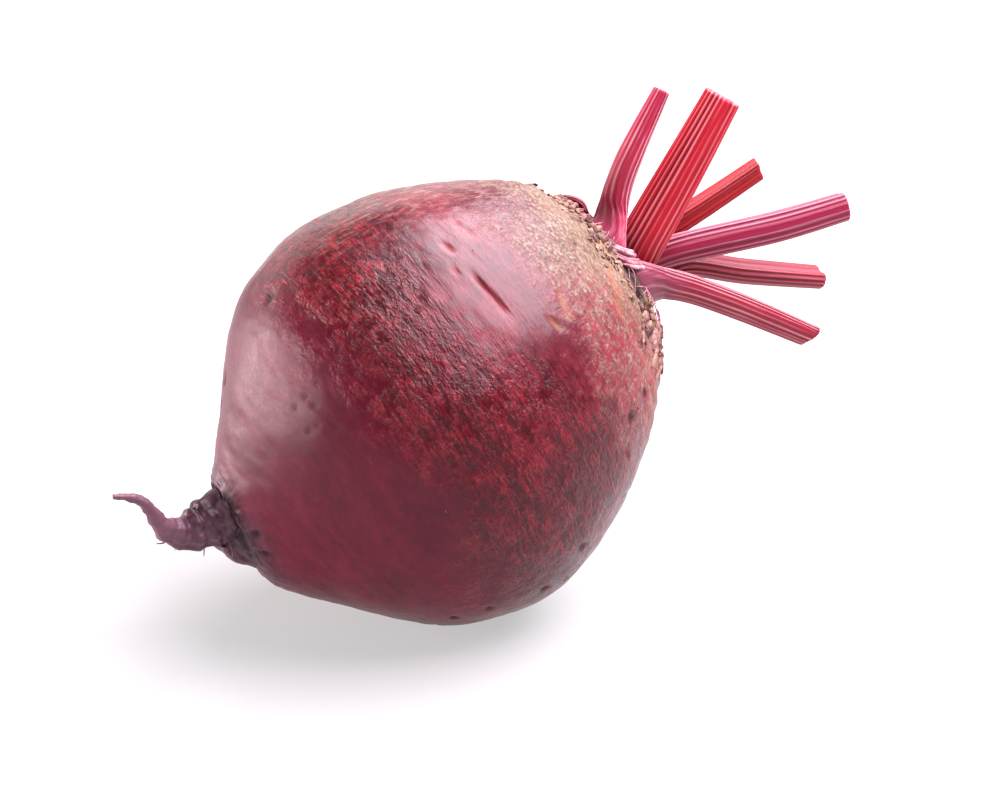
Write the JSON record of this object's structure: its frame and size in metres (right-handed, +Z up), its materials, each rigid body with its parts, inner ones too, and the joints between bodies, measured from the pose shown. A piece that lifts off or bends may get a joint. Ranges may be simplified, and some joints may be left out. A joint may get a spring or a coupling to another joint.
{
  "type": "beetroot",
  "caption": "Round beetroot lying on its side, with a corky crown, a thin curved tap root and short cut leaf stalks.",
  "frame": {"origin": "centre of the small flat spot that the beetroot rests on, below its centre of mass", "axes": "+X from the tap root towards the crown and stalks, as seen from above, +Z up"},
  "size_m": [0.1631, 0.0872, 0.1035],
  "materials": {
    "beet_skin": "satin skin",
    "beet_stalk": "satin ribbed",
    "torn_leaf": "dull"
  },
  "bodies": {
    "root": {"root": "beet_skin", "leaf_stalk_1": "beet_stalk", "leaf_stalk_2": "beet_stalk", "leaf_stalk_3": "beet_stalk", "leaf_stalk_4": "beet_stalk", "leaf_stalk_5": "beet_stalk", "leaf_stalk_6": "beet_stalk", "torn_leaf_base": "torn_leaf"}
  },
  "joints": []
}
